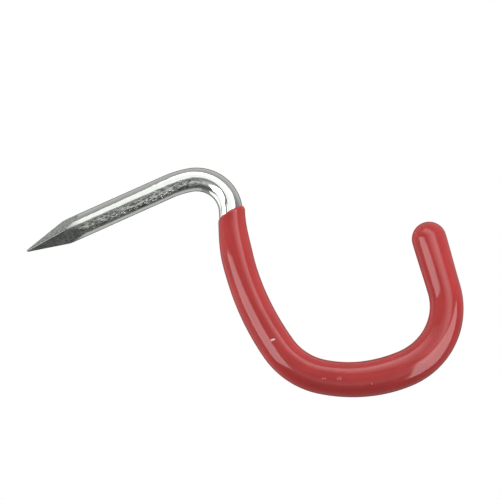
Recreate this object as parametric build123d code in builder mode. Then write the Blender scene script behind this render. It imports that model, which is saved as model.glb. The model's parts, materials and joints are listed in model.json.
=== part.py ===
"""Hammer-in hook: a bent steel wire with a four-sided driving point and a J dipped in vinyl."""

import os
from math import degrees

from build123d import *

# Driving dimensions, in millimetres and degrees
wire_diameter = 6.35

# Driving point: four flats meeting at a blunt tip that sits a little below the shank's axis
shank_length = 40.8  # blunt tip to the end of the straight shank
point_length = 16.0  # blunt tip to where the flats run out on the round shank
tip_width = 0.55
tip_drop = 0.3
ridge_radius = 0.15

# Bends along the wire, from the shank to the free end, at the wire's centreline
lead_radius = 26.0
lead_angle = 13.5
bend_radius = 9.2
bend_angle = 98.6
leg_radius = 72.0
leg_angle = 31.7
corner_radius = 18.0
corner_angle = 43.3
seat_radius = 36.0
seat_angle = 36.0
rise_radius = 18.0
rise_angle = 81.1
end_length = 15.8

# Vinyl skin: its thickness grows from the dip line to the low seat and thins again on the rise
dip_drop = 0.5  # end of the bend down to the dip line
dip_tilt = 6.3
dip_bead_radius = 0.4
edge_thickness = 0.42
edge_lean = 0.18  # the edge runs thicker on the outside of the bend
edge_run = 3.2  # along the leg at the edge's thickness
flare_run = 9.0  # along the leg from the edge's thickness to the leg's
leg_thickness = 1.08
corner_thickness = 1.35
seat_thickness = 1.62
rise_thickness = 1.22
end_thickness = 1.42
tip_thickness = 2.8  # skin beyond the wire's cut end

# Sizes worked out from the driving dimensions
wire_radius = wire_diameter / 2
end_radius = wire_radius + end_thickness
edge_run_angle = degrees(edge_run / leg_radius)
flare_run_angle = degrees(flare_run / leg_radius)
dome_setback = end_radius - tip_thickness  # from the wire's cut end back to the centre of the round end

# Centreline of the wire, in the hook's own upright plane
with BuildLine(Plane.XZ) as wire_line:
    lead = JernArc((0, 0), (1, 0), lead_radius, -lead_angle)
    bend = JernArc(lead @ 1, lead % 1, bend_radius, -bend_angle)
    leg = JernArc(bend @ 1, bend % 1, leg_radius, leg_angle)
    corner = JernArc(leg @ 1, leg % 1, corner_radius, corner_angle)
    seat = JernArc(corner @ 1, corner % 1, seat_radius, seat_angle)
    rise = JernArc(seat @ 1, seat % 1, rise_radius, rise_angle)
    end = Line(rise @ 1, rise @ 1 + end_length * (rise % 1))

# Steel wire: a long four-sided spike is trimmed to the round shank, then the bent length is swept on
with BuildPart() as steel_rod:
    with BuildSketch(Plane.YZ.offset(-shank_length)):
        Circle(shank_length)
    extrude(amount=shank_length)
    tip_centre = Vector(-shank_length, 0, -tip_drop)
    root_centre = Vector(point_length - shank_length, 0, 0)
    for side_angle in (45, 135, 225, 315):
        outward = Vector(0, 1, 0).rotate(Axis.X, side_angle)
        across = Axis.X.direction.cross(outward)
        flat_start = tip_centre + outward * (tip_width / 2)
        slope = root_centre + outward * wire_radius - flat_start
        split(bisect_by=Plane(flat_start, x_dir=slope, z_dir=across.cross(slope)), keep=Keep.BOTTOM)
    ridges = steel_rod.edges().filter_by(lambda edge: edge.length > shank_length)
    fillet(ridges, ridge_radius)
    with BuildSketch(Plane.YZ.offset(-shank_length)):
        Circle(wire_radius)
    extrude(amount=shank_length, mode=Mode.INTERSECT)
    with BuildSketch(Plane.YZ):
        Circle(wire_radius)
    sweep(path=wire_line.line)

# Centreline of the skin, from the middle of the bend to the centre of the round end
with BuildLine(Plane.XZ) as skin_line:
    skin_start = JernArc(bend @ 0.5, bend % 0.5, bend_radius, -bend_angle / 2)
    edge = JernArc(leg @ 0, leg % 0, leg_radius, edge_run_angle)
    flare = JernArc(edge @ 1, edge % 1, leg_radius, flare_run_angle)
    lower_leg = JernArc(flare @ 1, flare % 1, leg_radius, leg_angle - edge_run_angle - flare_run_angle)
    add([corner, seat, rise])
    skin_end = Line(end @ 0, end @ 1 - dome_setback * (end % 1))


def section_plane(curve, position):
    """Plane square to the curve, with its second direction in the plane of the hook."""
    return Plane(curve @ position, x_dir=(0, 1, 0), z_dir=curve % position)


# Vinyl skin: one tapered stretch along each curve, cut at the dip line and hollowed by the wire
with BuildPart() as vinyl_coating:
    for curve, start_thickness, stop_thickness in (
        (skin_start, edge_thickness, edge_thickness),
        (edge, edge_thickness, edge_thickness),
        (flare, edge_thickness, leg_thickness),
        (lower_leg, leg_thickness, corner_thickness),
        (corner, corner_thickness, corner_thickness),
        (seat, corner_thickness, seat_thickness),
        (rise, seat_thickness, rise_thickness),
        (skin_end, rise_thickness, end_thickness),
    ):
        for position, thickness in ((0, start_thickness), (1, stop_thickness)):
            with BuildSketch(section_plane(curve, position)):
                with Locations((0, edge_lean if thickness == edge_thickness else 0)):
                    Circle(wire_radius + thickness)
        sweep(path=curve, multisection=True)
    with Locations(section_plane(skin_end, 1)):
        Sphere(end_radius, arc_size1=0, align=(Align.CENTER, Align.CENTER, Align.MIN))
    dip_plane = Plane(bend @ 1 - Vector(0, 0, dip_drop)).rotated((0, -dip_tilt, 0))
    split(bisect_by=dip_plane, keep=Keep.BOTTOM)
    dip_face = vinyl_coating.faces().filter_by(GeomType.PLANE).sort_by(Axis.Z)[-1]
    fillet(dip_face.edges(), dip_bead_radius)
    add(steel_rod.part, mode=Mode.SUBTRACT)

steel_rod.part.label = "steel_rod"
vinyl_coating.part.label = "vinyl_coating"

os.makedirs("parts", exist_ok=True)
export_step(steel_rod.part, "parts/steel_rod.step")
export_step(vinyl_coating.part, "parts/vinyl_coating.step")
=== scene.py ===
"""Hammer-in hook, laid out as an add-on: zinc-plated wire, red vinyl dip and a small studio.

Both pieces are swept along one centreline, in metres, in the frame of the solids that they replace.
"""

import json
import math
from typing import NamedTuple

import bpy
from bpy.props import FloatProperty, FloatVectorProperty, PointerProperty
from mathutils import Euler, Matrix, Vector, noise


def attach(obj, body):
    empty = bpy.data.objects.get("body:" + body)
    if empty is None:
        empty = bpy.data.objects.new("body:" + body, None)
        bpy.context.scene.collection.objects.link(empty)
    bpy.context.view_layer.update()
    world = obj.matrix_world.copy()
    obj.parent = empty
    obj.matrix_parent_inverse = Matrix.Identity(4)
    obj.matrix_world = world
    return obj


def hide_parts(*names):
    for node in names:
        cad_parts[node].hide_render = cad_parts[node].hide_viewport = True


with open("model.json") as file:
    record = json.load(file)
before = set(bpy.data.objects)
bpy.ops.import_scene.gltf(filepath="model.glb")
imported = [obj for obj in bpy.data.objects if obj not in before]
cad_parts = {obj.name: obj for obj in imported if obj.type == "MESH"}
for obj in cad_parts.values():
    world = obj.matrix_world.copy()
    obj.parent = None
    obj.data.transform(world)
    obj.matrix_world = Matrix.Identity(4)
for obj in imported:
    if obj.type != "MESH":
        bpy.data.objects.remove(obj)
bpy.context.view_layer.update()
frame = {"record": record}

bl_info = {
    "name": "Hammer-in Hook",
    "version": (1, 0, 0),
    "blender": (4, 5, 0),
    "location": "View3D > Sidebar > Hook",
    "description": "Builds the plated wire, the vinyl dip and the studio of a hammer-in hook",
    "category": "Object",
}

MM = 0.001
WHITE = (1, 1, 1, 1)
ACROSS = Vector((0, 1, 0))
SHANK_MOUNT = next(mount for mount in frame["record"]["mounts"] if mount["name"] == "shank")

# How finely the pieces are divided
RIDGE_STEPS = 24  # along each ridge's arc, or a quarter of the round wire
FLAT_STEPS = 8  # across each flat of the point
WIRE_TURN = math.radians(1.5)  # largest turn between two rings of the wire
WIRE_STEP = 1.0 * MM
POINT_STEP = 0.16 * MM
SKIN_SIDES = 160
SKIN_STEP = 0.3 * MM
FINE_STEP = 0.09 * MM  # between the extra rows at each fault of the skin
FINE_ROWS = 8
BORE_STEP = 2.0 * MM
DOME_STEPS = 28
RIM_STEPS = 9
RIM_BLEND_STEPS = 30
HALVINGS = 40  # when a crossing is searched for
SURROUND_ROWS = 66
SURROUND_SIDES = 128
FLOOR_SIDES = 96

# Shape of the point and the dip line
LARGEST_ROUNDING = 0.9  # of a ridge, as a share of the flat's half width
SHARP_EDGE = math.radians(12)  # a fold of the wire that shades as an edge
LINE_REACH = 1.5  # wire diameters to each side of the bend's end, where the dip line is searched for
WANDER_SCALE = 2.5  # how quickly the dip line strays

# Small faults in the dip: distance along the wire, angle round it from its top, radius and height
PIMPLES = (
    (76.3 * MM, math.radians(-107), 0.32 * MM, 0.22 * MM),
    (80.0 * MM, math.radians(-100), 0.40 * MM, 0.20 * MM),
    (87.8 * MM, math.radians(-120), 0.26 * MM, 0.14 * MM),
)
FLECK_ALONG = 59.75 * MM
FLECK_ANGLE = math.radians(-96)
FLECK_TILT = math.radians(23)
FLECK_HALF_WIDTH = 0.25 * MM
FLECK_HALF_LENGTH = 0.68 * MM
FLECK_HEIGHT = 0.10 * MM
FLECK_BORDER = (0.75, 1.0)  # shares of its reach between which its colour ends

# Grain of the surfaces: its size along the wire and across it, and the depth of its relief
STREAKS = (1.15 * MM, 0.38 * MM)
STREAK_DEPTH = 0.12 * MM
MOTTLE = (0.75 * MM, 0.45 * MM)
MOTTLE_DEPTH = 0.05 * MM
DULL_PATCHES = (2.6 * MM, 1.4 * MM)
RED_CLOUDS = (7.0 * MM, 3.0 * MM)
PEBBLES = (1.6 * MM, 1.1 * MM)
PEBBLE_DEPTH = 0.01 * MM
SMEARS = (5.0 * MM, 1.0 * MM)
GRAIN_ROUGHNESS = 0.55

# Heights of the grain between which one finish turns into another
CRISP = (0.45, 0.55)
SOFT = (0.35, 0.65)
SOFTER = (0.3, 0.7)

# Plating: its scuffed side, and its stretches by distance along the wire from the end of the straight shank
PLATING, FLAT = 0, 1  # order of the wire's two finishes
SCUFFED_SIDE = (0.0, -0.823, -0.557)  # towards its middle, square to the shank's axis
SCUFFED_EDGE = (0.865, 0.95)  # how far that way the scuffs set in, in radii of the wire
SCUFFS_ELSEWHERE = 0.08
SCUFFS_RUN_OUT = (6.0 * MM, 13.0 * MM)
WORN_TO_CLEAN = (-29.5 * MM, -25.0 * MM)
MATT_TO_POLISHED = (-40.0 * MM, -28.0 * MM)

# Gloss of the finishes, each between two values of roughness
WIRE_ROUGHNESS = (0.36, 0.09)  # at the tip, and on the rest
FLAT_ROUGHNESS = (0.16, 0.30)
VINYL_ROUGHNESS = (0.06, 0.14)
VINYL_IOR = 1.53


def length(name, millimetres, description):
    """A size in the panel, given in millimetres and kept in metres."""
    return FloatProperty(
        name=name,
        description=description,
        default=millimetres * MM,
        subtype="DISTANCE",
        unit="LENGTH",
        precision=5,
    )


def turn(name, degrees, description):
    """An angle in the panel, given in degrees."""
    return FloatProperty(
        name=name, description=description, default=math.radians(degrees), subtype="ANGLE", unit="ROTATION"
    )


def level(name, value, description):
    """A plain number in the panel."""
    return FloatProperty(name=name, description=description, default=value, min=0.0)


def colour(name, value, description):
    """A colour in the panel, in linear light."""
    return FloatVectorProperty(
        name=name, description=description, default=value, size=3, subtype="COLOR", min=0.0, max=1.0
    )


class HookWire(bpy.types.PropertyGroup):
    """Sizes and finish of the plated wire"""

    diameter: length("Wire Diameter", 2 * SHANK_MOUNT["dims"]["r_mm"], "Thickness of the round wire")
    shank_length: length("Shank Length", 40.8, "Blunt tip to the end of the straight shank")
    point_length: length("Point Length", 16.0, "Blunt tip to where the flats run out")
    tip_width: length("Tip Width", 0.55, "Across two flats at the blunt tip")
    tip_drop: length("Tip Drop", 0.3, "Tip below the axis of the shank")
    tip_break: length("Tip Break", 0.07, "Broken edge round the blunt tip")
    ridge_radius: length("Ridge Radius", 0.30, "Rounding of the ridges between the flats")
    lead_radius: length("Lead Radius", 26.0, "Start of the bend")
    lead_angle: turn("Lead Angle", 13.5, "Start of the bend")
    bend_radius: length("Bend Radius", 9.2, "The bend that takes the hammer")
    bend_angle: turn("Bend Angle", 98.6, "The bend that takes the hammer")
    leg_radius: length("Leg Radius", 72.0, "The leg that runs down from the bend")
    leg_angle: turn("Leg Angle", 31.7, "The leg that runs down from the bend")
    corner_radius: length("Corner Radius", 18.0, "From the leg into the seat")
    corner_angle: turn("Corner Angle", 43.3, "From the leg into the seat")
    seat_radius: length("Seat Radius", 36.0, "The low seat of the hook")
    seat_angle: turn("Seat Angle", 36.0, "The low seat of the hook")
    rise_radius: length("Rise Radius", 18.0, "From the seat up to the free end")
    rise_angle: turn("Rise Angle", 81.1, "From the seat up to the free end")
    end_length: length("End Length", 15.8, "Straight free end, to the wire's cut")
    bright: colour("Bright Zinc", (0.80, 0.83, 0.78), "Clean plating")
    # This darker zinc is painted shade, laid in the hollows of the scuffed streaks.
    streak_hollow_shade: colour("Dull Zinc", (0.25, 0.262, 0.243), "Plating in the hollows of the scuffed streaks")
    flat_bright: colour("Flat, Bright", (0.60, 0.625, 0.58), "Plating on the flats of the point")
    # This darker zinc is painted shade in the hollows of the flats' relief, and also the worn plating by the
    # tip.
    flat_shade_and_wear: colour("Flat, Dull", (0.28, 0.295, 0.275), "Hollows in the flats, and worn plating by the tip")


class HookDip(bpy.types.PropertyGroup):
    """Sizes and finish of the vinyl dip"""

    line_drop: length("Line Drop", 0.5, "End of the bend down to the dip line")
    line_tilt: turn("Line Tilt", 6.3, "Slope of the dip line, up towards the outside of the bend")
    rim_length: length("Rim Length", 0.8, "How far the rim takes to reach its thickness")
    rim_wander: length("Rim Wander", 0.05, "How far the dip line strays from a plane")
    edge_skin: length("Edge Skin", 0.42, "Thickness at the dip line")
    edge_lean: length("Edge Lean", 0.18, "Extra thickness on the outside of the bend, at the dip line")
    flare_length: length("Flare Length", 13.0, "Along the leg from the edge's thickness to the leg's")
    leg_skin: length("Leg Skin", 1.08, "Thickness on the leg")
    corner_skin: length("Corner Skin", 1.35, "Thickness at the corner")
    seat_skin: length("Seat Skin", 1.62, "Thickness at the end of the seat")
    rise_skin: length("Rise Skin", 1.22, "Thickness at the end of the rise")
    end_skin: length("End Skin", 1.42, "Thickness at the free end")
    tip_skin: length("Tip Skin", 2.8, "Thickness beyond the wire's cut end")
    bore_gap: length("Bore Gap", 0.01, "Between the wire and the skin's inner face")
    ripple: length("Ripple", 0.025, "Height of the slow waves that the dip leaves")
    ripple_length: length("Ripple Length", 9.0, "Length of the slow waves")
    red: colour("Red", (0.53, 0.050, 0.050), "Vinyl")
    deep_red: colour("Deep Red", (0.47, 0.042, 0.042), "Vinyl where it cured darker")
    # The fleck is a whitish colour laid on the small raised welt of the leg's skin.
    fleck_white: colour("Fleck", (0.86, 0.84, 0.80), "Pale fleck stuck in the leg's skin")


class HookStudio(bpy.types.PropertyGroup):
    """Camera, light and floor round the hook"""

    camera_azimuth: turn("Camera Azimuth", -5.75, "Round the hook from straight ahead")
    camera_elevation: turn("Camera Elevation", -13.59, "Above the horizon")
    camera_roll: turn("Camera Roll", 25.65, "Clockwise tilt of the frame")
    camera_distance: length("Camera Distance", 600.0, "Camera to its target")
    camera_lens: FloatProperty(
        name="Lens", description="Focal length on a 36 mm sensor", default=163.75, subtype="DISTANCE_CAMERA"
    )
    target: FloatVectorProperty(
        name="Target",
        description="What the middle of the frame looks at",
        default=(12.64 * MM, 0.77 * MM, -24.73 * MM),
        subtype="XYZ",
        unit="LENGTH",
        precision=5,
    )
    floor_height: length("Floor Height", -800.0, "Floor, below the shank's axis")
    floor_radius: length("Floor Radius", 15000.0, "Half of the floor's width")
    floor_tone: level("Floor Tone", 0.8, "Share of the light that the floor sends back")
    floor_lift: level("Floor Lift", 0.75, "Added to the floor where it is seen, to join the background")
    room_fill: level("Room Fill", 0.245, "Even light that the room gives from all sides")
    surround_radius: length("Surround Radius", 720.0, "Half of the width of the dark surround")


class SoftBox(NamedTuple):
    """A rectangular lamp beside the hook, in millimetres and degrees."""

    name: str
    place: tuple
    turned: tuple
    size: tuple
    shine: float  # how bright it shows in gloss
    light: float  # how bright it is for the rest
    shines_on: str = ""  # the one piece that its shine is kept for


SOFT_BOXES = (
    SoftBox("soft_box_left", (-360, -300, -40), (46, 14, -67), (370, 440), 3.1, 0.3),
    SoftBox("soft_box_right", (245, -125, -355), (106, -2, 16), (355, 505), 3.1, 1.1),
    SoftBox("soft_box_left_high", (-350, -210, 255), (55, 22, -75), (215, 115), 3.1, 0.0, "plated_wire"),
    SoftBox("soft_box_top", (130, -235, 110), (72, 36, -2), (400, 285), 0.95, 1.3, "plated_wire"),
    SoftBox("soft_box_top_corner", (-105, -260, 160), (72, 36, -2), (45, 105), 0.95, 0.0, "plated_wire"),
    SoftBox("strip_box_top", (115, -200, 175), (40, 73, -11), (385, 105), 1.4, 2.1, "plated_wire"),
    SoftBox("side_panel_left", (-370, 100, 50), (63, 26, -102), (295, 560), 0.9, 3.2, "plated_wire"),
    SoftBox("side_panel_right", (450, 40, 20), (0, 90, 0), (300, 400), 0.0, 1.6),
    SoftBox("soft_box_back", (80, 580, 120), (-79, 0, -6), (600, 600), 0.0, 1.6),
)
LAMP_GAP = 20.0 * MM  # between the two layers of a soft box

# Glow on the vinyl: a small box with a soft border, built up from four sizes, in millimetres and degrees
GLOW_PLACE = (80, -95, 15)
GLOW_TURN = (77, -28, -1)
GLOW_SIZES = ((105, 225), (80, 195), (55, 160), (30, 125))
GLOW_SHINE = 0.56
GLOW_STEP = 4  # from each size to the next one, which is nearer to the hook

# Tone of the surround, below and above the hook, by angle from the camera's side to the opening at the back
SURROUND_TONES = (
    (0, 0.17, 0.19),
    (30, 0.74, 0.20),
    (45, 0.24, 0.20),
    (70, 0.10, 0.30),
    (90, 0.17, 0.44),
    (115, 0.31, 0.53),
    (127, 0.40, 0.66),
    (139, 0.20, 0.32),
    (150, 0.04, 0.06),
    (165, 0.02, 0.03),
)
HORIZON_BLEND = 0.5  # height over which the lower tone turns into the upper one, as a share of the radius
CARD_CORNERS = ((-48, 22, -60), (8, 22, -60), (8, 120, -60), (-48, 120, -60))  # pale card under the shank
CARD_TONE = 0.55

# Camera: the width of its sensor in millimetres, and the nearest and farthest that it sees in metres
SENSOR_WIDTH = 36.0
CLIP_RANGE = (0.01, 100.0)


class Centreline:
    """The wire's centreline in the plane Y = 0: straight shank, six arcs and a straight end.

    Distances along it are counted from the end of the straight shank, so they are negative on the shank.
    """

    def __init__(self, wire):
        self.runs = []
        self.ends = {}
        self.along = -wire.shank_length
        self.point = Vector((-wire.shank_length, 0, 0))
        self.heading = 0.0
        self.add("shank", wire.shank_length, 0.0)
        for name, radius, angle in (
            ("lead", wire.lead_radius, -wire.lead_angle),
            ("bend", wire.bend_radius, -wire.bend_angle),
            ("leg", wire.leg_radius, wire.leg_angle),
            ("corner", wire.corner_radius, wire.corner_angle),
            ("seat", wire.seat_radius, wire.seat_angle),
            ("rise", wire.rise_radius, wire.rise_angle),
        ):
            self.add(name, radius * abs(angle), math.copysign(1 / radius, angle))
        self.add("end", wire.end_length, 0.0)

    def add(self, name, run_length, curvature):
        """Goes on by one line or arc."""
        self.runs.append((self.along, run_length, curvature, self.point, self.heading))
        self.point, self.heading = self.follow(self.point, self.heading, curvature, run_length)
        self.along += run_length
        self.ends[name] = self.along

    @staticmethod
    def follow(point, heading, curvature, distance):
        """Point and heading after a distance along an arc, or along a line where there is no curvature."""
        turned = heading + curvature * distance
        if curvature == 0.0:
            return point + Vector((math.cos(heading), 0, math.sin(heading))) * distance, heading
        step = Vector((math.sin(turned) - math.sin(heading), 0, math.cos(heading) - math.cos(turned)))
        return point + step / curvature, turned

    def at(self, along):
        """Centre of the wire there, and the direction square to it in the hook's plane."""
        start, _, curvature, point, heading = next(
            run for run in reversed(self.runs) if along >= run[0] or run is self.runs[0]
        )
        centre, turned = self.follow(point, heading, curvature, along - start)
        return centre, Vector((-math.sin(turned), 0, math.cos(turned)))

    def place(self, along, rise, across):
        """Where a point of the straight wire comes to lie on the bent one."""
        centre, upward = self.at(along)
        return centre + rise * upward + across * ACROSS

    def stations(self, start, stop, largest_step, largest_turn):
        """Distances along the wire, close enough together for its bends."""
        found = []
        for run_start, run_length, curvature, _, _ in self.runs:
            low, high = max(start, run_start), min(stop, run_start + run_length)
            if high > low:
                step = min(largest_step, largest_turn / abs(curvature)) if curvature else largest_step
                count = max(1, math.ceil((high - low) / step))
                found += [low + (high - low) * index / count for index in range(count)]
        return found + [stop]


class Sweep:
    """Rings of one swept piece, and where each of their points lies on the straight wire."""

    def __init__(self, line):
        self.line = line
        self.points = []
        self.straight = []
        self.faces = []
        self.finishes = []

    def ring(self, section):
        """Adds points, each given as its distance along the wire, its rise and its offset across."""
        first = len(self.points)
        for along, rise, across in section:
            self.points.append(self.line.place(along, rise, across))
            self.straight.append((along, across, rise))
        return list(range(first, len(self.points)))

    def face(self, corners, finish=0):
        """Adds one face unless its corners have run together."""
        corners = list(dict.fromkeys(corners))
        if len(corners) > 2:
            self.faces.append(corners)
            self.finishes.append(finish)

    def bridge(self, ring, following, finishes=None):
        """Joins two rings of as many points, which both run the same way round."""
        for index in range(len(ring)):
            after = (index + 1) % len(ring)
            finish = finishes[index] if finishes else 0
            self.face((ring[index], ring[after], following[after], following[index]), finish)

    def cap(self, ring, backwards=False):
        """Closes a ring with one flat face."""
        self.face(ring[::-1] if backwards else ring)

    def piece(self, name, node, slot, materials):
        """Makes the mesh, in place of the solid of that node."""
        mesh = bpy.data.meshes.new(name)
        mesh.from_pydata(self.points, [], self.faces)
        mesh.polygons.foreach_set("material_index", self.finishes)
        mesh.polygons.foreach_set("use_smooth", [True] * len(self.faces))
        straight = mesh.attributes.new("straight", "FLOAT_VECTOR", "POINT")
        straight.data.foreach_set("vector", [number for place in self.straight for number in place])
        for material in materials:
            mesh.materials.append(material)
        if mesh.validate():
            raise RuntimeError(f"{name} has faces that had to be mended")
        mesh.update()
        made = bpy.data.objects.new(name, mesh)
        bpy.context.scene.collection.objects.link(made)
        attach(made, "root")
        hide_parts(node)
        return made


def crossing(inside, low, high):
    """Where a test that holds at low stops holding on the way to high."""
    for _ in range(HALVINGS):
        middle = (low + high) / 2
        if inside(middle):
            low = middle
        else:
            high = middle
    return low


def circle(radius, sides):
    """Rise and offset across of the points of a circle."""
    angles = [2 * math.pi * index / sides for index in range(sides)]
    return [(radius * math.cos(angle), radius * math.sin(angle)) for angle in angles]


def point_outline(wire, from_tip):
    """Section of the driving point: four flats, with broken ridges that the round wire cuts off higher up.

    Each quarter has its ridge first and then its flat, so that all sections have their points in one order.
    """
    radius = wire.diameter / 2
    share = from_tip / wire.point_length
    half_width = wire.tip_width / 2 + share * (radius - wire.tip_width / 2)
    lift = -wire.tip_drop * (1 - share)
    rounding = min(wire.ridge_radius, LARGEST_ROUNDING * half_width)
    ridge_centre = (half_width - rounding) * math.sqrt(2)
    full_flat = math.atan2(half_width - rounding, half_width)
    quarter_turn = math.pi / 2

    def to_round(angle):
        return -lift * math.cos(angle) + math.sqrt(radius**2 - (lift * math.sin(angle)) ** 2)

    def to_flat(angle, flat):
        return half_width / math.cos(angle - flat)

    def to_ridge(angle, ridge):
        off = angle - ridge
        if abs(off) >= quarter_turn / 2 - full_flat:
            return to_flat(angle, ridge + math.copysign(quarter_turn / 2, off))
        return ridge_centre * math.cos(off) + math.sqrt(rounding**2 - (ridge_centre * math.sin(off)) ** 2)

    def flat_end(flat, side):
        def inside(off):
            return to_flat(flat + side * off, flat) < to_round(flat + side * off)

        return crossing(inside, 0.0, full_flat)

    outline = []
    for quarter in range(4):
        ridge = quarter * quarter_turn
        before, after = ridge - quarter_turn / 2, ridge + quarter_turn / 2
        start = before + flat_end(before, 1)
        stop = after - flat_end(after, -1)
        for step in range(RIDGE_STEPS + 1):
            angle = start + (stop - start) * step / RIDGE_STEPS
            outline.append((angle, min(to_round(angle), to_ridge(angle, ridge))))
        following = after + flat_end(after, 1)
        for step in range(1, FLAT_STEPS):
            angle = stop + (following - stop) * step / FLAT_STEPS
            outline.append((angle, to_flat(angle, after)))
    return [(lift + distance * math.cos(angle), distance * math.sin(angle)) for angle, distance in outline]


def node(tree, kind, inputs=None, **settings):
    """Adds a shader node, with its settings, and fills its inputs with values or links."""
    made = tree.nodes.new(kind)
    for key, value in settings.items():
        setattr(made, key, value)
    for socket, value in (inputs or {}).items():
        if isinstance(value, bpy.types.NodeSocket):
            tree.links.new(value, made.inputs[socket])
        else:
            made.inputs[socket].default_value = value
    return made


def start_material(name):
    """A new material's node tree, emptied but for its output."""
    material = bpy.data.materials.new(name)
    material.use_nodes = True
    tree = material.node_tree
    tree.nodes.clear()
    return material, tree, tree.nodes.new("ShaderNodeOutputMaterial")


def straight_place(tree):
    """Where a point lies on the straight wire: along it, across it, and above its axis."""
    return node(tree, "ShaderNodeAttribute", attribute_name="straight").outputs["Vector"]


def along_wire(tree, along_size, across_size):
    """Texture coordinates that follow the wire round its bends, one unit to each size."""
    inputs = {"Vector": straight_place(tree), "Scale": (1 / along_size, 1 / across_size, 1 / across_size)}
    return node(tree, "ShaderNodeMapping", inputs).outputs[0]


def grain(tree, size, detail):
    """Noise with grains of that size along and across the wire."""
    inputs = {"Vector": along_wire(tree, *size), "Scale": 1.0, "Detail": detail, "Roughness": GRAIN_ROUGHNESS}
    return node(tree, "ShaderNodeTexNoise", inputs).outputs["Fac"]


def between(tree, value, low, high, to_low, to_high):
    """A value stretched from one range to another, and held there."""
    inputs = {"Value": value, "From Min": low, "From Max": high, "To Min": to_low, "To Max": to_high}
    return node(tree, "ShaderNodeMapRange", inputs).outputs["Result"]


def combine(tree, operation, first, second):
    """Two numbers joined by one operation."""
    return node(tree, "ShaderNodeMath", {0: first, 1: second}, operation=operation).outputs[0]


def blend_colours(tree, share, first, second):
    """Colour that goes from the first to the second with share."""
    made = node(tree, "ShaderNodeMix", data_type="RGBA")
    for socket, value in ((0, share), (6, first), (7, second)):
        if isinstance(value, bpy.types.NodeSocket):
            tree.links.new(value, made.inputs[socket])
        else:
            made.inputs[socket].default_value = (*value, 1.0)
    return made.outputs[2]


def bump(tree, height, depth, strength):
    """Relief of that depth, with a strength between 0 and 1."""
    inputs = {"Height": height, "Distance": depth, "Strength": strength}
    return node(tree, "ShaderNodeBump", inputs).outputs["Normal"]


def zinc_plating(wire):
    """Bright zinc: clean but for one scuffed side of the shank, whose streak hollows carry painted shade, and
    duller towards the tip.
    """
    material, tree, output = start_material("zinc_plating")
    straight = straight_place(tree)
    along = node(tree, "ShaderNodeSeparateXYZ", {0: straight}).outputs["X"]
    toward = node(tree, "ShaderNodeVectorMath", {0: straight, 1: SCUFFED_SIDE}, operation="DOT_PRODUCT")
    edge = [share * wire.diameter / 2 for share in SCUFFED_EDGE]
    facing = between(tree, toward.outputs["Value"], *edge, SCUFFS_ELSEWHERE, 1.0)
    scuffed = combine(tree, "MULTIPLY", facing, between(tree, along, *SCUFFS_RUN_OUT, 1.0, 0.0))
    streaks = grain(tree, STREAKS, detail=2.0)
    # Painted shade: the hollows of the streak relief on the scuffed side are coloured darker.
    hollows = combine(tree, "MULTIPLY", between(tree, streaks, *CRISP, 1.0, 0.0), scuffed)
    plated = blend_colours(tree, hollows, wire.bright, wire.streak_hollow_shade)
    worn = between(tree, along, *WORN_TO_CLEAN, 1.0, 0.0)
    inputs = {
        "Base Color": blend_colours(tree, worn, plated, wire.flat_shade_and_wear),
        "Metallic": 1.0,
        "Roughness": between(tree, along, *MATT_TO_POLISHED, *WIRE_ROUGHNESS),
        "Normal": bump(tree, streaks, STREAK_DEPTH, strength=scuffed),
    }
    shader = node(tree, "ShaderNodeBsdfPrincipled", inputs)
    tree.links.new(shader.outputs[0], output.inputs[0])
    return material


def zinc_flats(wire):
    """Zinc on the flats of the point: duller, with a mottled relief whose hollows carry painted shade."""
    material, tree, output = start_material("zinc_flats")
    mottle = grain(tree, MOTTLE, detail=3.0)
    dull_patches = grain(tree, DULL_PATCHES, detail=2.0)
    # Painted shade: the hollows of the mottled relief take the darker zinc, and its crests the brighter one.
    crests = between(tree, mottle, *SOFT, 0.0, 1.0)
    inputs = {
        "Base Color": blend_colours(tree, crests, wire.flat_shade_and_wear, wire.flat_bright),
        "Metallic": 1.0,
        "Roughness": between(tree, dull_patches, *SOFTER, *FLAT_ROUGHNESS),
        "Normal": bump(tree, mottle, MOTTLE_DEPTH, strength=0.5),
    }
    shader = node(tree, "ShaderNodeBsdfPrincipled", inputs)
    tree.links.new(shader.outputs[0], output.inputs[0])
    return material


def red_vinyl(dip, fleck_place):
    """Glossy vinyl: a slightly uneven red with a faint pebbled skin, and one pale fleck on the leg."""
    material, tree, output = start_material("red_vinyl")
    clouds = between(tree, grain(tree, RED_CLOUDS, detail=3.0), *SOFT, 0.0, 1.0)
    inputs = {"Vector": straight_place(tree), "Center": fleck_place, "Angle": -FLECK_TILT}
    turned = node(tree, "ShaderNodeVectorRotate", inputs, rotation_type="Y_AXIS").outputs[0]
    offset = node(tree, "ShaderNodeVectorMath", {0: turned, 1: fleck_place}, operation="SUBTRACT").outputs[0]
    reach = (FLECK_HALF_WIDTH, FLECK_HALF_LENGTH, FLECK_HALF_LENGTH)
    shares = node(tree, "ShaderNodeVectorMath", {0: offset, 1: reach}, operation="DIVIDE").outputs[0]
    away = node(tree, "ShaderNodeVectorMath", {0: shares}, operation="LENGTH").outputs["Value"]
    fleck = between(tree, away, *FLECK_BORDER, 1.0, 0.0)
    red = blend_colours(tree, clouds, dip.deep_red, dip.red)
    inputs = {
        "Base Color": blend_colours(tree, fleck, red, dip.fleck_white),
        "Roughness": between(tree, grain(tree, SMEARS, detail=3.0), *SOFTER, *VINYL_ROUGHNESS),
        "IOR": VINYL_IOR,
        "Normal": bump(tree, grain(tree, PEBBLES, detail=2.0), PEBBLE_DEPTH, strength=0.3),
    }
    shader = node(tree, "ShaderNodeBsdfPrincipled", inputs)
    tree.links.new(shader.outputs[0], output.inputs[0])
    return material


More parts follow.
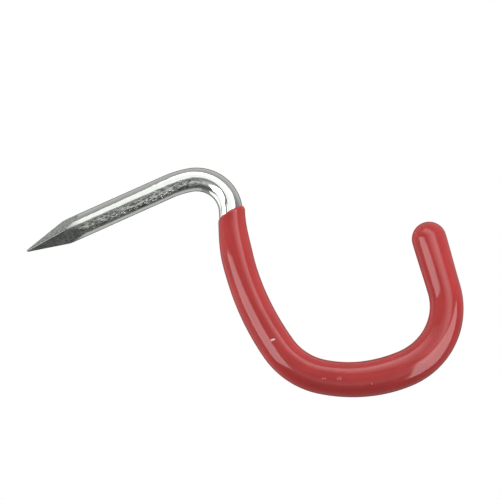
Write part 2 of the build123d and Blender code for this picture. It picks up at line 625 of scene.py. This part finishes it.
class HOOK_OT_plated_wire(bpy.types.Operator):
    """Sweeps the wire from its four-sided point to the cut end inside the dip"""

    bl_idname = "hook.plated_wire"
    bl_label = "Plated Wire"

    def execute(self, context):
        wire = context.scene.hook_wire
        sweep = Sweep(Centreline(wire))
        tip = -wire.shank_length
        finishes = ([PLATING] * RIDGE_STEPS + [FLAT] * FLAT_STEPS) * 4
        middle = -wire.tip_drop
        shrink = 1 - 2 * wire.tip_break / wire.tip_width
        last = sweep.ring(
            (tip, middle + (rise - middle) * shrink, across * shrink)
            for rise, across in point_outline(wire, 0.0)
        )
        sweep.cap(last, backwards=True)
        steps = math.ceil((wire.point_length - wire.tip_break) / POINT_STEP)
        for step in range(steps):
            from_tip = wire.tip_break + (wire.point_length - wire.tip_break) * step / steps
            outline = point_outline(wire, from_tip)
            ring = sweep.ring((tip + from_tip, rise, across) for rise, across in outline)
            sweep.bridge(last, ring, finishes)
            last = ring
        round_section = circle(wire.diameter / 2, 4 * RIDGE_STEPS)
        point_end, wire_end = tip + wire.point_length, sweep.line.ends["end"]
        stations = sweep.line.stations(point_end, wire_end, WIRE_STEP, WIRE_TURN)
        ring = sweep.ring((stations[0], rise, across) for rise, across in round_section)
        sweep.bridge(last, self.run_out(ring), finishes)
        for along in stations[1:]:
            following = sweep.ring((along, rise, across) for rise, across in round_section)
            sweep.bridge(ring, following)
            ring = following
        sweep.cap(ring)
        made = sweep.piece(
            "plated_wire", "steel_rod", "zinc_plated_steel", (zinc_plating(wire), zinc_flats(wire))
        )
        made.data.set_sharp_from_angle(angle=SHARP_EDGE)
        return {"FINISHED"}

    @staticmethod
    def run_out(ring):
        """The first round ring in the order of the point's sections, with each flat shrunk to one corner."""
        half = RIDGE_STEPS // 2
        ordered = []
        for quarter in range(4):
            first = quarter * RIDGE_STEPS - half
            ordered += [ring[(first + step) % len(ring)] for step in range(RIDGE_STEPS + 1)]
            ordered += [ring[(first + RIDGE_STEPS) % len(ring)]] * (FLAT_STEPS - 1)
        return ordered


class HOOK_OT_vinyl_dip(bpy.types.Operator):
    """Sweeps the vinyl skin from its rounded rim at the dip line to the round end, with its bore"""

    bl_idname = "hook.vinyl_dip"
    bl_label = "Vinyl Dip"

    def execute(self, context):
        wire, dip = context.scene.hook_wire, context.scene.hook_dip
        line = Centreline(wire)
        sweep = Sweep(line)
        radius = wire.diameter / 2
        angles = [2 * math.pi * index / SKIN_SIDES for index in range(SKIN_SIDES)]
        rim = [self.dip_line(line, wire, dip, angle) for angle in angles]
        end_radius = radius + dip.end_skin
        dome = line.ends["end"] + dip.tip_skin - end_radius
        joined = line.ends["bend"] + dip.flare_length

        def outside(along, angle):
            return self.outer_radius(line, wire, dip, dome, along, angle)

        def ring(places, radii):
            return sweep.ring(
                (along, distance * math.cos(angle), distance * math.sin(angle))
                for along, distance, angle in zip(places, radii, angles)
            )

        # Rounded rim at the dip line
        bore = radius + dip.bore_gap
        edge = ring(rim, [bore] * SKIN_SIDES)
        last = edge
        for step in range(1, RIM_STEPS + 1):
            lift = math.sin(math.pi / 2 * step / RIM_STEPS)
            drop = dip.rim_length * (1 - math.cos(math.pi / 2 * step / RIM_STEPS))
            places = [along + drop for along in rim]
            radii = [bore + lift * (outside(along, angle) - bore) for along, angle in zip(places, angles)]
            following = ring(places, radii)
            sweep.bridge(last, following)
            last = following

        # From the slanting rim to square rings, while the skin flares out
        for step in range(1, RIM_BLEND_STEPS + 1):
            share = step / RIM_BLEND_STEPS
            places = [(along + dip.rim_length) * (1 - share) + joined * share for along in rim]
            following = ring(places, [outside(along, angle) for along, angle in zip(places, angles)])
            sweep.bridge(last, following)
            last = following

        # On to the round end, with extra rows at each fault
        rows = set(line.stations(joined, dome, SKIN_STEP, math.pi)[1:])
        for middle in [FLECK_ALONG] + [pimple[0] for pimple in PIMPLES]:
            rows.update(middle + FINE_STEP * (step + 0.5) for step in range(-FINE_ROWS, FINE_ROWS))
        for along in sorted(rows):
            following = ring([along] * SKIN_SIDES, [outside(along, angle) for angle in angles])
            sweep.bridge(last, following)
            last = following

        # Round end
        for step in range(1, DOME_STEPS):
            slope = math.pi / 2 * step / DOME_STEPS
            places = [dome + end_radius * math.sin(slope)] * SKIN_SIDES
            following = ring(places, [end_radius * math.cos(slope)] * SKIN_SIDES)
            sweep.bridge(last, following)
            last = following
        pole = sweep.ring([(dome + end_radius, 0.0, 0.0)])
        sweep.bridge(last, pole * SKIN_SIDES)

        # Bore, from the rim to the wire's cut end
        last = edge
        bore_start = max(rim) + dip.rim_length
        for along in line.stations(bore_start, line.ends["end"] + dip.bore_gap, BORE_STEP, 2 * WIRE_TURN):
            following = ring([along] * SKIN_SIDES, [bore] * SKIN_SIDES)
            sweep.bridge(following, last)
            last = following
        sweep.cap(last, backwards=True)

        fleck_radius = outside(FLECK_ALONG, FLECK_ANGLE)
        fleck_across, fleck_rise = fleck_radius * math.sin(FLECK_ANGLE), fleck_radius * math.cos(FLECK_ANGLE)
        fleck_place = (FLECK_ALONG, fleck_across, fleck_rise)
        sweep.piece("vinyl_dip", "vinyl_coating", "red_vinyl", (red_vinyl(dip, fleck_place),))
        return {"FINISHED"}

    @staticmethod
    def dip_line(line, wire, dip, angle):
        """Distance along the wire where the dip line crosses it at that angle."""
        level_point = line.at(line.ends["bend"])[0] - Vector((0, 0, dip.line_drop))
        upward = Vector((-math.sin(dip.line_tilt), 0, math.cos(dip.line_tilt)))
        rise, across = wire.diameter / 2 * math.cos(angle), wire.diameter / 2 * math.sin(angle)

        def above(along):
            return (line.place(along, rise, across) - level_point).dot(upward) > 0

        reach = LINE_REACH * wire.diameter
        along = crossing(above, line.ends["bend"] - reach, line.ends["bend"] + reach)
        wander = noise.noise(Vector((WANDER_SCALE * math.cos(angle), WANDER_SCALE * math.sin(angle), 0.0)))
        return along + dip.rim_wander * wander

    @staticmethod
    def outer_radius(line, wire, dip, dome, along, angle):
        """From the wire's centreline to the outside of the skin."""
        stations = (
            (line.ends["bend"], dip.edge_skin),
            (line.ends["bend"] + dip.flare_length, dip.leg_skin),
            (line.ends["leg"], dip.corner_skin),
            (line.ends["corner"], dip.corner_skin),
            (line.ends["seat"], dip.seat_skin),
            (line.ends["rise"], dip.rise_skin),
            (dome, dip.end_skin),
        )
        skin = stations[0][1] if along <= stations[0][0] else stations[-1][1]
        for (start, first), (stop, second) in zip(stations, stations[1:]):
            if start < along <= stop:
                share = (along - start) / (stop - start)
                skin = first + (second - first) * share * share * (3 - 2 * share)
        flared = min(1.0, max(0.0, (along - line.ends["bend"]) / dip.flare_length))
        lean = dip.edge_lean * (1 - flared)
        outer = wire.diameter / 2 + skin
        distance = lean * math.cos(angle) + math.sqrt(outer**2 - (lean * math.sin(angle)) ** 2)
        calm = min(1.0, max(0.0, (dome - along) / dip.ripple_length))
        wave = Vector((along / dip.ripple_length, math.cos(angle), math.sin(angle)))
        distance += dip.ripple * flared * calm * noise.noise(wave)
        for pimple_along, pimple_angle, pimple_radius, height in PIMPLES:
            off = math.hypot(along - pimple_along, outer * math.sin((angle - pimple_angle) / 2) * 2)
            distance += height * math.exp(-((off / pimple_radius) ** 2))
        round_it = outer * math.sin((angle - FLECK_ANGLE) / 2) * 2
        past = along - FLECK_ALONG
        broad = past * math.cos(FLECK_TILT) - round_it * math.sin(FLECK_TILT)
        lengthwise = past * math.sin(FLECK_TILT) + round_it * math.cos(FLECK_TILT)
        off = math.hypot(broad / FLECK_HALF_WIDTH, lengthwise / FLECK_HALF_LENGTH)
        return distance + FLECK_HEIGHT * math.exp(-(off**2))


def bearing(azimuth, elevation):
    """Direction away from the hook: azimuth 0 is towards -Y, and 90 degrees towards +X."""
    flat = math.cos(elevation)
    return Vector((math.sin(azimuth) * flat, -math.cos(azimuth) * flat, math.sin(elevation)))


def look(backward, roll):
    """Rotation of a camera that looks along minus backward, tilted clockwise by roll."""
    return (-backward).to_track_quat("-Z", "Y").to_matrix() @ Matrix.Rotation(-roll, 3, "Z")


def background_rays(tree):
    """One for the rays that see the background: from the camera, off metal and through clear things."""
    path = node(tree, "ShaderNodeLightPath").outputs
    either = combine(tree, "MAXIMUM", path["Is Camera Ray"], path["Is Glossy Ray"])
    return combine(tree, "MAXIMUM", either, path["Is Transmission Ray"])


def surround_tone(degrees, height):
    """How pale the surround is at that angle from the camera's side and that height."""
    pairs = zip(SURROUND_TONES, SURROUND_TONES[1:])
    first, second = next(pair for pair in pairs if degrees <= pair[1][0])
    share = (degrees - first[0]) / (second[0] - first[0])
    below, above = (low + (high - low) * share for low, high in zip(first[1:], second[1:]))
    return below + (above - below) * min(1.0, max(0.0, 0.5 + height / HORIZON_BLEND))


class HOOK_OT_studio(bpy.types.Operator):
    """Sets up the camera, the soft boxes, the pale floor and the white background"""

    bl_idname = "hook.studio"
    bl_label = "Studio"

    def execute(self, context):
        studio = context.scene.hook_studio
        self.camera(context.scene, studio)
        for piece in ("plated_wire", "vinyl_dip"):
            bpy.data.collections.new(piece).objects.link(bpy.data.objects[piece])
        for box in SOFT_BOXES:
            self.soft_box(context.scene, box)
        for step, size in enumerate(GLOW_SIZES):
            place = tuple(Vector(GLOW_PLACE) + GLOW_STEP * step * ACROSS)
            box = SoftBox(f"glow_box_{step}", place, GLOW_TURN, size, GLOW_SHINE, 0.0, "vinyl_dip")
            self.soft_box(context.scene, box)
        self.room(context.scene, studio)
        self.surround(context.scene, studio)
        self.floor(context.scene, studio)
        context.scene.view_settings.view_transform = "Standard"
        return {"FINISHED"}

    @staticmethod
    def camera(scene, studio):
        """The photograph's view."""
        lens = bpy.data.cameras.new("camera")
        lens.sensor_fit = "HORIZONTAL"
        lens.sensor_width = SENSOR_WIDTH
        lens.lens = studio.camera_lens
        lens.clip_start, lens.clip_end = CLIP_RANGE
        backward = bearing(studio.camera_azimuth, studio.camera_elevation)
        place = Vector(studio.target) + studio.camera_distance * backward
        made = bpy.data.objects.new("camera", lens)
        made.matrix_world = Matrix.LocRotScale(place, look(backward, studio.camera_roll), None)
        scene.collection.objects.link(made)
        scene.camera = made

    @staticmethod
    def soft_box(scene, box):
        """Makes the box as two lamps: one that shows in gloss, and one behind it that lights the rest."""
        rotation = Euler([math.radians(degrees) for degrees in box.turned])
        for use, brightness in (("shine", box.shine), ("light", box.light)):
            if not brightness:
                continue
            lamp = bpy.data.lights.new(f"{box.name}_{use}", "AREA")
            lamp.shape = "RECTANGLE"
            lamp.size, lamp.size_y = box.size[0] * MM, box.size[1] * MM
            lamp.energy = brightness * math.pi * lamp.size * lamp.size_y
            made = bpy.data.objects.new(lamp.name, lamp)
            made.matrix_world = Matrix.LocRotScale(Vector(box.place) * MM, rotation, None)
            made.matrix_world @= Matrix.Translation((0, 0, LAMP_GAP if use == "light" else 0))
            made.visible_camera = False
            made.visible_glossy = use == "shine"
            made.visible_diffuse = use == "light"
            scene.collection.objects.link(made)
            if box.shines_on and use == "shine":
                made.light_linking.receiver_collection = bpy.data.collections[box.shines_on]

    @staticmethod
    def room(scene, studio):
        """White for what the camera, metal and clear things see, and an even light on the rest."""
        world = bpy.data.worlds.new("room")
        world.use_nodes = True
        tree = world.node_tree
        tree.nodes.clear()
        strength = between(tree, background_rays(tree), 0.0, 1.0, studio.room_fill, 1.0)
        background = node(tree, "ShaderNodeBackground", {"Color": WHITE, "Strength": strength})
        output = tree.nodes.new("ShaderNodeOutputWorld")
        tree.links.new(background.outputs[0], output.inputs[0])
        scene.world = world

    @staticmethod
    def surround(scene, studio):
        """A dark tent, open to the backdrop, and a pale card, which show only in reflections."""
        front = bearing(studio.camera_azimuth, studio.camera_elevation)
        side = front.orthogonal().normalized()
        third = front.cross(side)
        middle = Vector(studio.target)
        points, tones, rows = [], [], []
        for step in range(SURROUND_ROWS + 1):
            angle = math.radians(SURROUND_TONES[-1][0]) * step / SURROUND_ROWS
            rows.append(range(len(points), len(points) + SURROUND_SIDES))
            for rise, across in circle(math.sin(angle), SURROUND_SIDES):
                away = math.cos(angle) * front + rise * side + across * third
                points.append(middle + studio.surround_radius * away)
                tones.append(surround_tone(math.degrees(angle), away.z))
        faces = []
        for row, following in zip(rows, rows[1:]):
            for index in range(SURROUND_SIDES):
                after = (index + 1) % SURROUND_SIDES
                faces.append((row[index], row[after], following[after], following[index]))
        faces.append(range(len(points), len(points) + len(CARD_CORNERS)))
        points += [Vector(corner) * MM for corner in CARD_CORNERS]
        tones += [CARD_TONE] * len(CARD_CORNERS)
        mesh = bpy.data.meshes.new("dark_surround")
        mesh.from_pydata(points, [], faces)
        mesh.attributes.new("tone", "FLOAT", "POINT").data.foreach_set("value", tones)
        material, tree, output = start_material("dark_surround")
        tone = node(tree, "ShaderNodeAttribute", attribute_name="tone").outputs["Fac"]
        glow = node(tree, "ShaderNodeEmission", {"Color": WHITE, "Strength": tone})
        tree.links.new(glow.outputs[0], output.inputs[0])
        mesh.materials.append(material)
        made = bpy.data.objects.new("dark_surround", mesh)
        made.visible_camera = made.visible_diffuse = made.visible_transmission = made.visible_shadow = False
        scene.collection.objects.link(made)

    @staticmethod
    def floor(scene, studio):
        """A pale floor that keeps the hook's shadow and joins the white background."""
        material, tree, output = start_material("pale_floor")
        lift = between(tree, background_rays(tree), 0.0, 1.0, 0.0, studio.floor_lift)
        glow = node(tree, "ShaderNodeEmission", {"Color": WHITE, "Strength": lift})
        matt = node(tree, "ShaderNodeBsdfDiffuse", {"Color": (*[studio.floor_tone] * 3, 1)})
        both = node(tree, "ShaderNodeAddShader", {0: glow.outputs[0], 1: matt.outputs[0]})
        tree.links.new(both.outputs[0], output.inputs[0])
        mesh = bpy.data.meshes.new("floor")
        rim = [(*place, studio.floor_height) for place in circle(studio.floor_radius, FLOOR_SIDES)]
        mesh.from_pydata(rim, [], [range(len(rim))])
        mesh.materials.append(material)
        made = bpy.data.objects.new("floor", mesh)
        scene.collection.objects.link(made)


class VIEW3D_PT_hook(bpy.types.Panel):
    """Sizes, finishes and studio of the hook"""

    bl_label = "Hammer-in Hook"
    bl_space_type = "VIEW_3D"
    bl_region_type = "UI"
    bl_category = "Hook"

    def draw(self, context):
        scene = context.scene
        for operator, group in (
            ("hook.plated_wire", scene.hook_wire),
            ("hook.vinyl_dip", scene.hook_dip),
            ("hook.studio", scene.hook_studio),
        ):
            box = self.layout.box()
            box.operator(operator)
            for name in group.__annotations__:
                box.prop(group, name)


CLASSES = (
    HookWire,
    HookDip,
    HookStudio,
    HOOK_OT_plated_wire,
    HOOK_OT_vinyl_dip,
    HOOK_OT_studio,
    VIEW3D_PT_hook,
)


def register():
    for cls in CLASSES:
        bpy.utils.register_class(cls)
    bpy.types.Scene.hook_wire = PointerProperty(type=HookWire)
    bpy.types.Scene.hook_dip = PointerProperty(type=HookDip)
    bpy.types.Scene.hook_studio = PointerProperty(type=HookStudio)


def unregister():
    del bpy.types.Scene.hook_wire
    del bpy.types.Scene.hook_dip
    del bpy.types.Scene.hook_studio
    for cls in reversed(CLASSES):
        bpy.utils.unregister_class(cls)


def main():
    """Builds the hook and its studio."""
    register()
    bpy.ops.hook.plated_wire()
    bpy.ops.hook.vinyl_dip()
    bpy.ops.hook.studio()


if __name__ == "__main__":
    main()
